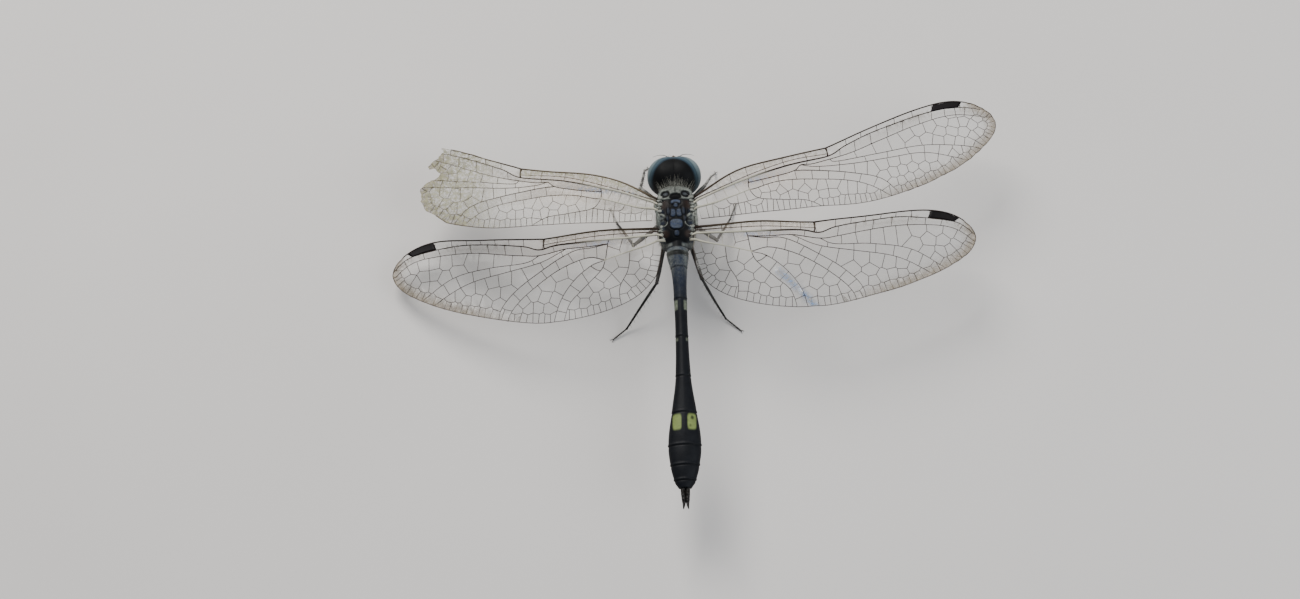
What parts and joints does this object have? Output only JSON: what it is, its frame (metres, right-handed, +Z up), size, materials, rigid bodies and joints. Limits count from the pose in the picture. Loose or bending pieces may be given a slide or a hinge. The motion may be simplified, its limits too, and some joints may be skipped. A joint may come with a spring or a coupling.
{
  "type": "dragonfly",
  "caption": "Small skimmer dragonfly at rest with its wings spread flat, big eyes that meet on top, a slim clubbed abdomen and one torn forewing tip.",
  "frame": {"origin": "on the floor under the middle of the bounding box, at the level the feet stand on", "axes": "+Z up; the head points along +Y and the tail along -Y; +X is the animal's right, along the spread wings"},
  "size_m": [0.0626, 0.0436, 0.0095],
  "materials": {
    "bloomed_thorax": "satin shell with a dusty blue-grey bloom",
    "face_shell": "smooth dark shell",
    "eye_lens": "glossy, finely faceted",
    "abdomen_shell": "satin dark shell",
    "spotted_ring": "satin dark shell with two yellow-green spots",
    "leg_shell": "satin black shell",
    "wing_membrane": "clear membrane with brown veins"
  },
  "bodies": {
    "root": {"thorax": "bloomed_thorax", "prothorax": "bloomed_thorax", "head": "face_shell", "eye_left": "eye_lens", "eye_right": "eye_lens", "antenna_left": "leg_shell", "antenna_right": "leg_shell", "abdomen_1": "abdomen_shell", "abdomen_2": "abdomen_shell", "abdomen_3": "abdomen_shell", "abdomen_4": "abdomen_shell", "abdomen_5": "abdomen_shell", "abdomen_6": "abdomen_shell", "abdomen_7": "spotted_ring", "abdomen_8": "abdomen_shell", "abdomen_9": "abdomen_shell", "abdomen_10": "abdomen_shell", "cercus_left": "abdomen_shell", "cercus_right": "abdomen_shell", "epiproct": "abdomen_shell", "forewing_left": "wing_membrane", "forewing_right": "wing_membrane", "hindwing_left": "wing_membrane", "hindwing_right": "wing_membrane", "femur_fore_left": "leg_shell", "femur_fore_right": "leg_shell", "femur_mid_left": "leg_shell", "femur_mid_right": "leg_shell", "femur_hind_left": "leg_shell", "femur_hind_right": "leg_shell", "tibia_fore_left": "leg_shell", "tibia_fore_right": "leg_shell", "tibia_mid_left": "leg_shell", "tibia_mid_right": "leg_shell", "tibia_hind_left": "leg_shell", "tibia_hind_right": "leg_shell", "tarsus_fore_left": "leg_shell", "tarsus_fore_right": "leg_shell", "tarsus_mid_left": "leg_shell", "tarsus_mid_right": "leg_shell", "tarsus_hind_left": "leg_shell", "tarsus_hind_right": "leg_shell"}
  },
  "joints": []
}
